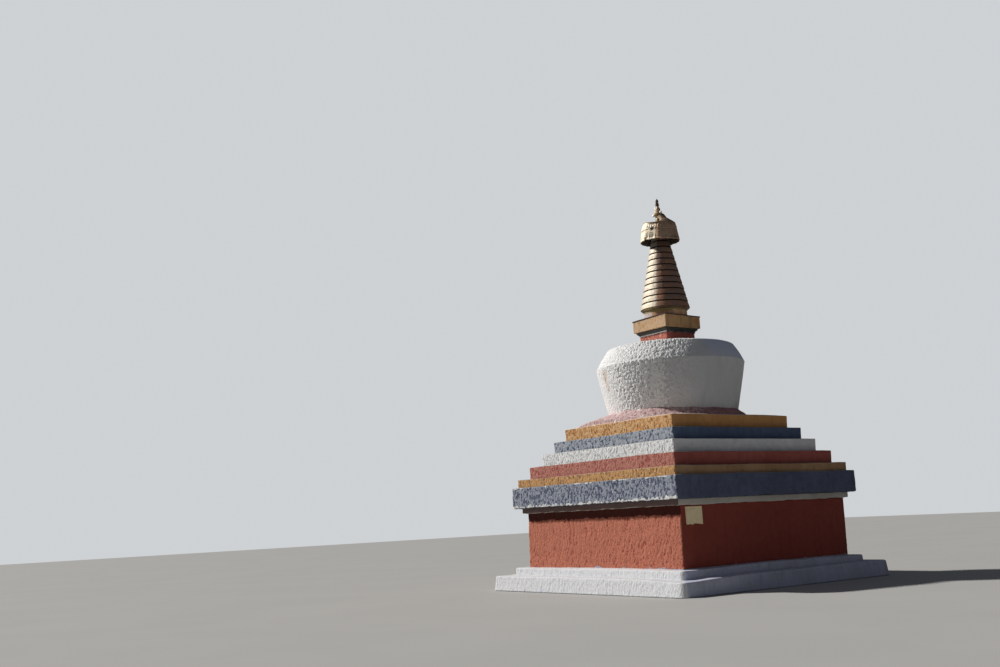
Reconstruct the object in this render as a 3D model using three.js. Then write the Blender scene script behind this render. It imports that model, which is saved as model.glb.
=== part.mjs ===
// A whitewashed and painted masonry stupa: a stepped square base, a round white
// dome, a small square harmika, and a gilt spire of thirteen rings under a parasol.
// Millimetres, +Z up. The origin is on the ground, at the centre of the plinth.
// The wall with the notice board faces -Y.

import * as THREE from 'three';

// Square masonry courses, from the ground up: half width, height, corner radius.
// The plinth and the harmika's moulding lean, so they also give the half width on top.
const plinthLower = { half: 3136, topHalf: 3087, height: 345, corner: 120 };
const plinthUpper = { half: 2750, topHalf: 2732, height: 147, corner: 80 };
const throne = { half: 2500, height: 1216, corner: 30 };
const throneLip = { half: 2570, height: 124, corner: 30 };
const corniceBand = { half: 2722, height: 465, corner: 35 };
const tierYellowLower = { half: 2606, height: 183, corner: 35 };
const tierRed = { half: 2400, height: 281, corner: 35 };
const tierWhite = { half: 2181, height: 277, corner: 35 };
const tierBlue = { half: 1976, height: 265, corner: 35 };
const tierYellowUpper = { half: 1780, height: 285, corner: 35 };

// Sloping round bank that the dome stands on.
const bankHeight = 252;
const bankRadius = 1690;
const bankEdgeHeight = 82;
const bankShoulder = 1625;

// Dome: a side that flares up to the shoulder, a sloping band, then a shallow cap.
const domeFootRadius = 1466;
const domeShoulderRadius = 1690;
const domeSideHeight = 1040;
const domeSideBulge = 14;
const domeBevelRadius = 1455; // top of the sloping band above the shoulder
const domeBevelHeight = 410;
const domeBevelBulge = 14;
const domeCapHeight = 130;
const domeSeatRadius = 640; // flat on the crown that the harmika stands on

// Harmika: red box, pale ledge, dark moulding, ochre slab and its thin metal cap.
const harmikaBox = { half: 444, height: 215, corner: 12 };
const harmikaLedge = { half: 458, height: 28, corner: 8 };
const harmikaMoulding = { half: 456, topHalf: 506, height: 78, corner: 8 };
const harmikaSlab = { half: 548, height: 269, corner: 10 };
const slabCap = { half: 558, height: 12, corner: 8 };

// Gilt spire.
const pedestalRadius = 500;
const pedestalHeight = 184;
const collarHeight = 44;
const collarFootRadius = 512;
const collarWaistRadius = 550;
const collarTopRadius = 562;
const ringCount = 13;
const ringPitch = 148;
const lowestRingRadius = 572;
const ringTaper = 0.2179; // radius lost for each millimetre of height
const ringTuck = 12; // how far a ring's top sits inside the lip of the ring above
const ringLip = 30; // height of the plain lip at a ring's foot
const neckRadius = 128;

// Parasol: an open skirt in two bands under a concave roof.
const skirtDrop = 291; // how far the skirt hangs below the top of the highest ring
const skirtHeight = 260;
const upperBandHeight = 150;
const skirtFootRadius = 454;
const skirtMiddleRadius = 415;
const skirtTopRadius = 372;
const skirtWall = 14;
const skirtBelly = 4; // how far each band swells past a straight line at mid height
const upperBandBelly = 8;
const corniceHeight = 16;
const corniceRadius = 382;
const roofHeight = 234;
const roofTopRadius = 100;
const roofHollow = 2.5; // how strongly the roof's slope is hollowed

// Finial.
const finialLotusHeight = 92;
const finialBulbHeight = 118;
const finialDiscsHeight = 86;
const finialTipHeight = 104;

// Notice board on the front wall of the throne.
const board = { width: 443, height: 356, thickness: 22, left: -2323, drop: 34 };

const turnSteps = 48;
const domeSteps = 64;
const finialSteps = 24;
const quarterTurn = Math.PI / 2;

const finishes = {
  whitewash: { color: 0xd9d8d2, roughness: 0.95, metalness: 0 },
  greyWash: { color: 0xc3c7cd, roughness: 0.95, metalness: 0 },
  terracotta: { color: 0xa04c38, roughness: 0.95, metalness: 0 },
  slateBlue: { color: 0x6d7686, roughness: 0.95, metalness: 0 },
  ochre: { color: 0xc39a4b, roughness: 0.95, metalness: 0 },
  rose: { color: 0xb98780, roughness: 0.95, metalness: 0 },
  darkPaint: { color: 0x2c2f2b, roughness: 0.8, metalness: 0 },
  gilt: { color: 0xc79a55, roughness: 0.35, metalness: 1 },
  agedGilt: { color: 0x8d7340, roughness: 0.5, metalness: 1 },
  capSheet: { color: 0x4a3a30, roughness: 0.6, metalness: 0.6 },
  boardPaint: { color: 0xdccf9a, roughness: 0.7, metalness: 0 },
};

const stupa = new THREE.Group();

function addPiece(name, geometry, finish, z = 0) {
  const piece = new THREE.Mesh(geometry, new THREE.MeshStandardMaterial(finishes[finish]));
  piece.name = name;
  piece.position.z = z;
  stupa.add(piece);
}

function roundedSquare(half, corner) {
  const straight = half - corner;
  const outline = new THREE.Shape();
  outline.moveTo(-straight, -half);
  outline.absarc(straight, -straight, corner, -quarterTurn, 0);
  outline.absarc(straight, straight, corner, 0, quarterTurn);
  outline.absarc(-straight, straight, corner, quarterTurn, 2 * quarterTurn);
  outline.absarc(-straight, -straight, corner, 2 * quarterTurn, 3 * quarterTurn);
  return outline;
}

function courseGeometry({ half, topHalf = half, height, corner }) {
  const options = { depth: height, bevelEnabled: false, curveSegments: 2 };
  const geometry = new THREE.ExtrudeGeometry(roundedSquare(half, corner), options);
  const place = geometry.attributes.position;
  const lean = topHalf / half;
  for (let i = 0; i < place.count; i++) {
    const spread = place.getZ(i) > 0 ? lean : 1;
    place.setXY(i, place.getX(i) * spread, place.getY(i) * spread);
  }
  return geometry;
}

// Turns [radius, height] points about the vertical axis.
function turnedGeometry(points, steps = turnSteps) {
  const profile = points.map(([radius, height]) => new THREE.Vector2(radius, height));
  return new THREE.LatheGeometry(profile, steps).rotateX(quarterTurn);
}

// The cap is part of a flat ellipse, cut off level where the harmika stands.
const capEnd = Math.acos(domeSeatRadius / domeBevelRadius);
const capFoot = domeSideHeight + domeBevelHeight;
const domeHeight = capFoot + domeCapHeight * Math.sin(capEnd);

// Points from one end of a sloping stretch to the other, bulging outwards between them.
function slopePoints(start, end, bulge, steps) {
  const points = [];
  for (let i = 1; i <= steps; i++) {
    const t = i / steps;
    const swell = bulge * Math.sin(Math.PI * t);
    points.push([
      THREE.MathUtils.lerp(start[0], end[0], t) + swell,
      THREE.MathUtils.lerp(start[1], end[1], t),
    ]);
  }
  return points;
}

function domeProfile() {
  const foot = [domeFootRadius, 0];
  const shoulder = [domeShoulderRadius, domeSideHeight];
  const bevelTop = [domeBevelRadius, capFoot];
  const points = [[0, 0], foot];
  points.push(...slopePoints(foot, shoulder, domeSideBulge, 4));
  points.push(...slopePoints(shoulder, bevelTop, domeBevelBulge, 3));
  const capSteps = 6;
  for (let i = 1; i <= capSteps; i++) {
    const angle = capEnd * (i / capSteps);
    const radius = domeBevelRadius * Math.cos(angle);
    points.push([radius, capFoot + domeCapHeight * Math.sin(angle)]);
  }
  points.push([0, domeHeight]);
  return points;
}

function ringRadius(height) {
  return lowestRingRadius - ringTaper * height;
}

function ringProfile(index) {
  const foot = ringRadius(index * ringPitch);
  const top = ringRadius((index + 1) * ringPitch) - ringTuck;
  const lipTop = foot - ringTaper * ringLip;
  return [[0, 0], [foot, 0], [lipTop, ringLip], [top, ringPitch], [0, ringPitch]];
}

// A round shell, open at both ends, with the same wall all the way up.
function shellProfile(footRadius, middleRadius, topRadius, height) {
  const inner = skirtWall;
  return [
    [footRadius, 0], [middleRadius, height / 2], [topRadius, height],
    [topRadius - inner, height], [middleRadius - inner, height / 2], [footRadius - inner, 0],
    [footRadius, 0],
  ];
}

function roofProfile() {
  const steps = 6;
  const points = [[0, 0]];
  for (let i = 0; i <= steps; i++) {
    const t = i / steps;
    const radius = roofTopRadius + (skirtTopRadius - roofTopRadius) * (1 - t) ** roofHollow;
    points.push([radius, roofHeight * t]);
  }
  points.push([0, roofHeight]);
  return points;
}

// Three thin round discs on one stem, each smaller than the one below.
function discsProfile() {
  const discCount = 3;
  const stemRadius = 26;
  const widestDisc = 52;
  const discStep = 4;
  const pitch = finialDiscsHeight / discCount;
  const points = [[0, 0]];
  for (let i = 0; i < discCount; i++) {
    const discRadius = widestDisc - discStep * i;
    points.push([stemRadius, pitch * i], [discRadius, pitch * (i + 0.3)]);
    points.push([discRadius, pitch * (i + 0.7)]);
  }
  points.push([stemRadius, finialDiscsHeight], [0, finialDiscsHeight]);
  return points;
}

let level = 0;

function stackCourse(name, size, finish) {
  addPiece(name, courseGeometry(size), finish, level);
  level += size.height;
}

function stackTurned(name, profile, height, finish, steps) {
  addPiece(name, turnedGeometry(profile, steps), finish, level);
  level += height;
}

// Stepped base
stackCourse('plinth_lower', plinthLower, 'greyWash');
stackCourse('plinth_upper', plinthUpper, 'greyWash');
const throneFoot = level;
stackCourse('throne', throne, 'terracotta');
stackCourse('throne_lip', throneLip, 'whitewash');
stackCourse('cornice_band', corniceBand, 'slateBlue');
stackCourse('tier_yellow_lower', tierYellowLower, 'ochre');
stackCourse('tier_red', tierRed, 'terracotta');
stackCourse('tier_white', tierWhite, 'whitewash');
stackCourse('tier_blue', tierBlue, 'slateBlue');
stackCourse('tier_yellow_upper', tierYellowUpper, 'ochre');

// Round bank and dome
const bankProfile = [
  [0, 0], [bankRadius, 0], [bankShoulder, bankEdgeHeight], [domeFootRadius, bankHeight],
  [0, bankHeight],
];
stackTurned('dome_bank', bankProfile, bankHeight, 'rose', domeSteps);
stackTurned('dome', domeProfile(), domeHeight, 'whitewash', domeSteps);

// Harmika
stackCourse('harmika_box', harmikaBox, 'terracotta');
stackCourse('harmika_ledge', harmikaLedge, 'whitewash');
stackCourse('harmika_moulding', harmikaMoulding, 'darkPaint');
stackCourse('harmika_slab', harmikaSlab, 'ochre');
stackCourse('slab_cap', slabCap, 'capSheet');

// Spire
const pedestalProfile = [
  [0, 0], [pedestalRadius, 0], [pedestalRadius, pedestalHeight], [0, pedestalHeight],
];
stackTurned('spire_pedestal', pedestalProfile, pedestalHeight, 'whitewash');
const collarProfile = [
  [0, 0], [collarFootRadius, 0], [collarWaistRadius, 0.7 * collarHeight],
  [collarTopRadius, collarHeight], [0, collarHeight],
];
stackTurned('spire_collar', collarProfile, collarHeight, 'agedGilt');
for (let i = 0; i < ringCount; i++) {
  const name = `spire_ring_${String(i + 1).padStart(2, '0')}`;
  stackTurned(name, ringProfile(i), ringPitch, 'gilt');
}

// Parasol
const skirtFoot = level - skirtDrop;
const middle = skirtFoot + skirtHeight;
const eaves = middle + upperBandHeight;
const neckHeight = eaves - level;
const neckProfile = [[0, 0], [neckRadius, 0], [neckRadius, neckHeight], [0, neckHeight]];
stackTurned('spire_neck', neckProfile, neckHeight, 'terracotta');
const skirtBulge = (skirtFootRadius + skirtMiddleRadius) / 2 + skirtBelly;
const skirt = shellProfile(skirtFootRadius, skirtBulge, skirtMiddleRadius, skirtHeight);
addPiece('parasol_skirt', turnedGeometry(skirt), 'gilt', skirtFoot);
const bandBulge = (skirtMiddleRadius + skirtTopRadius) / 2 + upperBandBelly;
const band = shellProfile(skirtMiddleRadius, bandBulge, skirtTopRadius, upperBandHeight);
addPiece('parasol_band', turnedGeometry(band), 'gilt', middle);
const corniceProfile = [
  [0, 0], [corniceRadius, 0], [corniceRadius, corniceHeight], [0, corniceHeight],
];
stackTurned('parasol_cornice', corniceProfile, corniceHeight, 'agedGilt');
stackTurned('parasol_roof', roofProfile(), roofHeight, 'agedGilt');

// Finial
const lotusProfile = [
  [0, 0], [96, 0], [114, 34], [84, 52], [92, 74], [60, finialLotusHeight],
  [0, finialLotusHeight],
];
stackTurned('finial_lotus', lotusProfile, finialLotusHeight, 'gilt', finialSteps);
const bulbProfile = [
  [0, 0], [46, 0], [70, 22], [76, 46], [62, 74], [36, 98], [28, finialBulbHeight],
  [0, finialBulbHeight],
];
stackTurned('finial_bulb', bulbProfile, finialBulbHeight, 'gilt', finialSteps);
stackTurned('finial_discs', discsProfile(), finialDiscsHeight, 'agedGilt', finialSteps);
const tipProfile = [[0, 0], [22, 0], [38, 22], [34, 58], [14, 84], [0, finialTipHeight]];
stackTurned('finial_tip', tipProfile, finialTipHeight, 'agedGilt', finialSteps);

// Notice board, flat against the front wall near its left end
const boardPanel = new THREE.BoxGeometry(board.width, board.thickness, board.height);
const boardTop = throneFoot + throne.height - board.drop;
boardPanel.translate(
  board.left + board.width / 2, -throne.half - board.thickness / 2, -board.height / 2,
);
addPiece('notice_board', boardPanel, 'boardPaint', boardTop);

export default stupa;
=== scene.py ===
import math

import bpy
import numpy as np
from mathutils import Matrix, Vector


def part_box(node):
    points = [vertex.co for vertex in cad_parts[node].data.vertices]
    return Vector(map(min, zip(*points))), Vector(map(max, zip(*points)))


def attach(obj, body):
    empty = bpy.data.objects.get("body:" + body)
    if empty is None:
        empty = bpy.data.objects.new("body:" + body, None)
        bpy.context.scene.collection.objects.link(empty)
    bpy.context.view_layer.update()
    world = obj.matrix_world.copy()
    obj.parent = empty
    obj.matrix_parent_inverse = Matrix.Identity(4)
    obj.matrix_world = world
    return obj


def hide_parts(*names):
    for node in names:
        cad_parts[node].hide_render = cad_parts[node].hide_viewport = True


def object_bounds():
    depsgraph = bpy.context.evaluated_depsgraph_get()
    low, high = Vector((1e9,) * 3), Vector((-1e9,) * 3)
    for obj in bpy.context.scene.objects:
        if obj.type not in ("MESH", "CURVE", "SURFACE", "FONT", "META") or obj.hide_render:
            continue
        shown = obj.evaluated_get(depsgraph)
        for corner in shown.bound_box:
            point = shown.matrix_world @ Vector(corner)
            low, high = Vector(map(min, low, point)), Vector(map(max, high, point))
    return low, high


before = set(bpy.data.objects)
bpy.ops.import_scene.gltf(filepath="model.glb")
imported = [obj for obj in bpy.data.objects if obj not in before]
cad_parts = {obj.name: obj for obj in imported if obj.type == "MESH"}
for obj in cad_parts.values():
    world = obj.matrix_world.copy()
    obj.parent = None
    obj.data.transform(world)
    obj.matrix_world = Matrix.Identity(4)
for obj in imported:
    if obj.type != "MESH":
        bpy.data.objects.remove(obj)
cadLow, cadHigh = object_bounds()
scene = bpy.context.scene
print("frame loaded,", len(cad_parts), "nodes")

# Camera, standing where the picture was taken from
view = {
    "place": (-17.4935, -17.9267, 1.6037),
    "turn": -35.382,  # degrees to the right of +Y, seen from above
    "pitch": 9.791,
    "roll": 2.910,  # upright things lean to the left
    "lens": 38.797,
    "sensor": 36.0,
}
pictureRight = (0.815, -0.579)  # the way across the picture, on the ground
pictureNear = (-0.698, -0.716)  # the way from the stupa to the camera
pictureRightWay = -35.4


def addCamera():
    turn, pitch, roll = (math.radians(view[key]) for key in ("turn", "pitch", "roll"))
    flat = math.cos(pitch)
    ahead = Vector((-math.sin(turn) * flat, math.cos(turn) * flat, math.sin(pitch)))
    right = Vector((math.cos(turn), math.sin(turn), 0))
    up = right.cross(ahead)
    side = right * math.cos(roll) - up * math.sin(roll)
    top = right * math.sin(roll) + up * math.cos(roll)
    lens = bpy.data.cameras.new("camera")
    lens.sensor_width = view["sensor"]
    lens.lens = view["lens"]
    lens.clip_end = 400
    camera = bpy.data.objects.new("camera", lens)
    scene.collection.objects.link(camera)
    turned = Matrix((side, top, -ahead)).transposed().to_4x4()
    camera.matrix_world = Matrix.Translation(view["place"]) @ turned
    scene.camera = camera


addCamera()

# Soft key light from behind on the left, pale surroundings and a pale floor
light = {
    "azimuth": 126.0,
    "height": 39.0,
    "strength": 4.0,
    "softness": 3.0,  # degrees across
    "colour": (1.0, 0.97, 0.925),
    "fill": (0.082, 0.09, 0.105),
    "backdrop": (0.62, 0.64, 0.66),
    "floor": (0.43, 0.425, 0.41),
    "floorSize": 160.0,
}


def addLights():
    azimuth, height = math.radians(light["azimuth"]), math.radians(light["height"])
    flat = math.cos(height)
    towards = Vector((math.cos(azimuth) * flat, math.sin(azimuth) * flat, math.sin(height)))
    lamp = bpy.data.lights.new("key", "SUN")
    lamp.energy = light["strength"]
    lamp.angle = math.radians(light["softness"])
    lamp.color = light["colour"]
    key = bpy.data.objects.new("key", lamp)
    key.rotation_euler = towards.to_track_quat("Z", "Y").to_euler()
    scene.collection.objects.link(key)
    # the camera sees the pale backdrop, and the stupa is lit by a dimmer one
    world = bpy.data.worlds.new("studio")
    world.use_nodes = True
    tree = world.node_tree
    fill = tree.nodes["Background"]
    fill.inputs["Color"].default_value = (*light["fill"], 1)
    pale = tree.nodes.new("ShaderNodeBackground")
    pale.inputs["Color"].default_value = (*light["backdrop"], 1)
    path = tree.nodes.new("ShaderNodeLightPath")
    choose = tree.nodes.new("ShaderNodeMixShader")
    tree.links.new(path.outputs["Is Camera Ray"], choose.inputs[0])
    tree.links.new(fill.outputs[0], choose.inputs[1])
    tree.links.new(pale.outputs[0], choose.inputs[2])
    tree.links.new(choose.outputs[0], tree.nodes["World Output"].inputs[0])
    scene.world = world


addLights()
scene.view_settings.view_transform = "Standard"
print("camera and lights")


# Material tools
def addNode(tree, kind, inputs=None, **settings):
    node = tree.nodes.new("ShaderNode" + kind)
    for key, value in settings.items():
        setattr(node, key, value)
    for key, value in (inputs or {}).items():
        if isinstance(value, bpy.types.NodeSocket):
            tree.links.new(value, node.inputs[key])
        elif node.inputs[key].type == "RGBA":
            node.inputs[key].default_value = (*value, 1)
        else:
            node.inputs[key].default_value = value
    return node


def newMaterial(name):
    material = bpy.data.materials.new(name)
    material.use_nodes = True
    tree = material.node_tree
    place = addNode(tree, "TexCoord").outputs["Object"]
    return material, tree, tree.nodes["Principled BSDF"], place


def noiseAt(tree, place, size, detail=4.0, rough=0.55):
    # size in metres: one number, or one each for x, y and z
    across = size if isinstance(size, tuple) else (size, size, size)
    values = {0: place, 1: [1 / s for s in across]}
    scaled = addNode(tree, "VectorMath", values, operation="MULTIPLY").outputs[0]
    values = {"Vector": scaled, "Scale": 1.0, "Detail": detail, "Roughness": rough}
    return addNode(tree, "TexNoise", values).outputs["Fac"]


def ramp(tree, value, low, high, most=1.0, least=0.0):
    values = {"Value": value, "From Min": low, "From Max": high, "To Min": least, "To Max": most}
    return addNode(tree, "MapRange", values, interpolation_type="SMOOTHSTEP").outputs["Result"]


def weighted(tree, *parts):
    # parts: a value and its weight each, all added up
    total = 0.0
    for value, weight in parts:
        values = {0: value, 1: weight, 2: total}
        total = addNode(tree, "Math", values, operation="MULTIPLY_ADD").outputs[0]
    return total


def blend(tree, amount, a, b):
    return addNode(tree, "Mix", {0: amount, 6: a, 7: b}, data_type="RGBA").outputs[2]


def layered(tree, colour, *layers):
    # each layer: what steers it, from where to where, how much shows at most, and its colour
    for value, low, high, most, over in layers:
        colour = blend(tree, ramp(tree, value, low, high, most), colour, over)
    return colour


def attribute(tree, name):
    return addNode(tree, "Attribute", attribute_name=name).outputs["Fac"]


def linkShader(tree, shader, colour, rough, height, distance, strength=1.0):
    bump = addNode(tree, "Bump", {"Height": height, "Distance": distance, "Strength": strength})
    linked = {"Base Color": colour, "Roughness": rough, "Normal": bump.outputs["Normal"]}
    for key, value in linked.items():
        tree.links.new(value, shader.inputs[key])


# Lime and earth washes over rough plaster. body: the wash on the sheltered sides; deep: in pits and
# thick places;
# stain: in rain runs; bare: weathered high spots on the exposed sides; patch: a second colour
# brushed or stained on where the mesh says so, painted shadow on the lip and the drum; dust: on
# level tops, painted shade on the throne and the dome.
anyWash = {
    "broad": 0.3, "mottle": 0.3, "runs": 0.3, "wearMost": 0.85, "pits": 0.95, "bump": 0.035,
    "dab": 0.04, "patchMost": 0.9, "dust": (0.31, 0.295, 0.27),
}


def plasterWash(name, **values):
    wash = {**anyWash, **values}
    material, tree, shader, place = newMaterial(name)
    dab = wash["dab"]
    broad = noiseAt(tree, place, 0.8)
    mottled = noiseAt(tree, place, 0.14, 5.0, 0.6)
    dabs = noiseAt(tree, place, (dab, dab, dab * 1.6), 3.0, 0.6)
    runs = noiseAt(tree, place, (0.12, 0.12, 1.1), 4.0, 0.6)
    grain = noiseAt(tree, place, 0.014, 3.0, 0.6)
    weather = attribute(tree, "wear")
    worn = weighted(tree, (weather, 0.6), (dabs, 0.5), (grain, 0.25))
    start = wash["wearFrom"]
    colour = layered(
        tree, wash["body"],
        (broad, 0.38, 0.66, wash["broad"], wash["deep"]),
        (mottled, 0.42, 0.72, wash["mottle"], wash["deep"]),
        (runs, 0.46, 0.78, wash["runs"], wash["stain"]),
        (worn, start, start + 0.16, wash["wearMost"], wash["bare"]),
    )
    # pits show where the weather has worn the wash
    reached = ramp(tree, weather, 0.14, 0.34)
    pits = weighted(tree, (ramp(tree, dabs, 0.47, 0.36, wash["pits"]), reached))
    colour = blend(tree, pits, colour, wash["deep"])
    if "patch" in wash:
        patched = weighted(tree, (attribute(tree, "patch"), 1.0), (dabs, 0.3))
        colour = layered(tree, colour, (patched, 0.5, 0.8, wash["patchMost"], wash["patch"]))
    # dust on level tops, and painted shade on the throne and the dome
    colour = layered(tree, colour, (attribute(tree, "dust"), 0.3, 0.8, 0.9, wash["dust"]))
    shader.inputs["Specular IOR Level"].default_value = 0.25
    rough = ramp(tree, mottled, 0.3, 0.7, 0.97, 0.84)
    height = weighted(tree, (dabs, 1.0), (grain, 0.4))
    strength = ramp(tree, weather, 0.1, 0.4, 1.0, 0.3)
    linkShader(tree, shader, colour, rough, height, wash["bump"], strength)
    return material


whitewash = plasterWash(
    "whitewash", body=(0.76, 0.767, 0.79), deep=(0.30, 0.31, 0.325), stain=(0.58, 0.57, 0.55),
    bare=(0.86, 0.875, 0.88), broad=0.15, mottle=0.2, runs=0.25, wearFrom=0.52, pits=0.9,
)
# bare: the white of the dome's sunlit half, body: the grey of its shaded half, painted light and
# shade
domeWash = plasterWash(
    "domeWash", body=(0.60, 0.61, 0.625), deep=(0.44, 0.44, 0.45), stain=(0.49, 0.48, 0.465),
    bare=(0.96, 0.965, 0.965), broad=0.2, mottle=0.1, runs=0.6, wearFrom=0.48, wearMost=0.88,
    # dust colour: the dome's bluish painted shade on its upper shaded side
    pits=0.5, patch=(0.62, 0.44, 0.30), patchMost=0.5, dust=(0.49, 0.545, 0.70),
)
# body: the bluish grey of the plinth's shaded sides, painted sky-lit shade
greyWash = plasterWash(
    "greyWash", body=(0.52, 0.54, 0.68), deep=(0.40, 0.41, 0.45), stain=(0.32, 0.31, 0.33),
    bare=(0.74, 0.75, 0.76), broad=0.4, mottle=0.4, runs=0.45, wearFrom=0.40, pits=0.3,
    bump=0.025, dab=0.05,
)
# patch: the lip's painted shadow on the sunlit sides, under the band
creamWash = plasterWash(
    "creamWash", body=(0.62, 0.585, 0.53), deep=(0.46, 0.42, 0.37), stain=(0.33, 0.28, 0.24),
    bare=(0.80, 0.78, 0.73), broad=0.4, mottle=0.4, wearFrom=0.54, wearMost=0.8, pits=0.4,
    bump=0.02, dab=0.05, patch=(0.17, 0.105, 0.09), patchMost=0.95,
)
# body: the low wall's shaded sides are darkened as painted shade
throneWash = plasterWash(
    "throneWash", body=(0.30, 0.064, 0.045), deep=(0.24, 0.046, 0.032), stain=(0.20, 0.040, 0.030),
    bare=(0.53, 0.188, 0.120), mottle=0.35, runs=0.4, wearFrom=0.46, wearMost=0.92, pits=0.6,
    # dust colour: the near-black painted shadow under the overhang
    bump=0.025, dab=0.03, patch=(0.36, 0.39, 0.48), dust=(0.055, 0.012, 0.008),
)
redWash = plasterWash(
    "redWash", body=(0.40, 0.115, 0.092), deep=(0.27, 0.058, 0.05), stain=(0.25, 0.06, 0.05),
    bare=(0.55, 0.245, 0.195), runs=0.35, wearFrom=0.52, pits=0.85,
)
boxWash = plasterWash(
    "boxWash", body=(0.48, 0.135, 0.10), deep=(0.32, 0.08, 0.06), stain=(0.25, 0.065, 0.05),
    bare=(0.56, 0.20, 0.14), broad=0.4, mottle=0.4, runs=0.4, wearFrom=0.54, wearMost=0.8,
    pits=0.6, bump=0.025, dab=0.03, patch=(0.80, 0.70, 0.66),
)
blueWash = plasterWash(
    "blueWash", body=(0.105, 0.15, 0.25), deep=(0.045, 0.065, 0.11), stain=(0.06, 0.075, 0.115),
    bare=(0.44, 0.475, 0.53), wearFrom=0.54, wearMost=0.92,
)
slateWash = plasterWash(
    "slateWash", body=(0.115, 0.135, 0.205), deep=(0.040, 0.048, 0.082), stain=(0.06, 0.068, 0.10),
    bare=(0.34, 0.37, 0.44), wearFrom=0.60, wearMost=0.95, bump=0.04, patch=(0.84, 0.84, 0.82),
)
yellowWash = plasterWash(
    "yellowWash", body=(0.64, 0.32, 0.125), deep=(0.24, 0.11, 0.04), stain=(0.40, 0.20, 0.07),
    bare=(0.78, 0.50, 0.26), broad=0.15, mottle=0.2, runs=0.35, wearFrom=0.60, wearMost=0.8,
    dust=(0.72, 0.62, 0.56),
)
# body: darker and greyer on the shaded sides under the band, painted shade
ochreWash = plasterWash(
    "ochreWash", body=(0.44, 0.275, 0.155), deep=(0.20, 0.10, 0.045), stain=(0.26, 0.16, 0.08),
    bare=(0.66, 0.37, 0.155), runs=0.35, wearFrom=0.54, wearMost=0.92, bump=0.04,
)
roseWash = plasterWash(
    "roseWash", body=(0.35, 0.18, 0.185), deep=(0.24, 0.105, 0.10), stain=(0.22, 0.11, 0.11),
    bare=(0.66, 0.475, 0.465), runs=0.2, wearFrom=0.42, wearMost=0.95, pits=0.6, bump=0.03,
    dab=0.05, patch=(0.82, 0.78, 0.75),
)
tanWash = plasterWash(
    "tanWash", body=(0.60, 0.355, 0.165), deep=(0.40, 0.20, 0.08), stain=(0.24, 0.14, 0.08),
    bare=(0.60, 0.44, 0.29), broad=0.35, mottle=0.4, runs=1.0, wearFrom=0.50, wearMost=0.75,
    pits=0.3, bump=0.012, dab=0.035, patch=(0.50, 0.17, 0.05), patchMost=0.6,
)
# ledge: near-black body on the two shaded sides as painted shade, pale bare colour on the sunlit
# sides
ledgeWash = plasterWash(
    "ledgeWash", body=(0.10, 0.088, 0.078), deep=(0.06, 0.05, 0.045), stain=(0.05, 0.04, 0.035),
    bare=(0.92, 0.85, 0.83), wearFrom=0.38, wearMost=0.95, pits=0.3, bump=0.01, dab=0.03,
)
drumWash = plasterWash(
    "drumWash", body=(0.72, 0.43, 0.26), deep=(0.42, 0.23, 0.13), stain=(0.36, 0.17, 0.08),
    bare=(0.58, 0.56, 0.58), broad=0.5, mottle=0.5, runs=0.8, wearFrom=0.44, wearMost=0.95,
    # patch colour: the greenish-gold painted shadow of the lowest ring
    pits=0.3, bump=0.012, dab=0.035, patch=(0.30, 0.24, 0.09), patchMost=0.8,
)
print("washes mixed")


# Beaten gilt copper: gold leaf, copper where it has rubbed through, brown tarnish; the brown lies
# over the side turned from the sun as tarnish and painted shade
def beatenMetal(name, **metal):
    material, tree, shader, place = newMaterial(name)
    broad = noiseAt(tree, place, metal["patch"])
    fine = noiseAt(tree, place, metal["patch"] * 0.22, 5.0, 0.65)
    runs = noiseAt(tree, place, (0.04, 0.04, 0.3), 4.0, 0.6)
    dents = noiseAt(tree, place, 0.05, 2.0)
    shelter = attribute(tree, "shelter")  # 1 on the side turned from the sun: tarnish and painted shade
    grime = attribute(tree, "grime")
    bright = layered(tree, metal["gold"], (fine, 0.5, 0.68, 0.5, metal["copper"]))
    dull = layered(
        tree, metal["brown"],
        (broad, 0.47, 0.6, metal["rubbed"], metal["copper"]), (runs, 0.5, 0.7, 0.5, metal["brown"]),
    )
    tarnish = weighted(tree, (shelter, 1.0), (fine, metal["tarnish"]))
    colour = layered(
        tree, bright,
        (tarnish, 0.45, 1.05, metal["most"], dull), (grime, 0.2, 1.0, 0.95, metal["dirt"]),
    )
    shader.inputs["Metallic"].default_value = metal["metallic"]
    low, high = metal["roughness"]
    rough = ramp(tree, weighted(tree, (fine, 0.5), (grime, 0.4)), 0.15, 0.5, high, low)
    height = weighted(tree, (dents, 1.0), (fine, 0.2))
    linkShader(tree, shader, colour, rough, height, metal["bump"])
    return material


giltSheet = beatenMetal(
    "giltSheet", gold=(0.65, 0.585, 0.48), copper=(0.40, 0.185, 0.10), brown=(0.235, 0.14, 0.11),
    dirt=(0.03, 0.018, 0.012), patch=0.22, rubbed=0.7, tarnish=0.5, most=0.92, metallic=0.6,
    roughness=(0.66, 0.80), bump=0.006,
)
paleGilt = beatenMetal(
    "paleGilt", gold=(0.93, 0.84, 0.67), copper=(0.46, 0.29, 0.16), brown=(0.45, 0.29, 0.20),
    dirt=(0.05, 0.035, 0.022), patch=0.16, rubbed=0.5, tarnish=0.5, most=0.9, metallic=0.6,
    roughness=(0.60, 0.75), bump=0.005,
)
agedGilt = beatenMetal(
    "agedGilt", gold=(0.46, 0.36, 0.18), copper=(0.28, 0.16, 0.09), brown=(0.21, 0.145, 0.11),
    dirt=(0.03, 0.022, 0.015), patch=0.12, rubbed=0.6, tarnish=0.6, most=0.8, metallic=0.7,
    roughness=(0.45, 0.65), bump=0.004,
)
# near-white gilt for the beads: painted highlight, standing in for their glints
beadGilt = beatenMetal(
    "beadGilt", gold=(1.0, 0.97, 0.90), copper=(0.8, 0.7, 0.5), brown=(0.4, 0.3, 0.2),
    dirt=(0.2, 0.15, 0.10), patch=0.1, rubbed=0.3, tarnish=0.3, most=0.6, metallic=0.3,
    roughness=(0.40, 0.55), bump=0.002,
)


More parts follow.
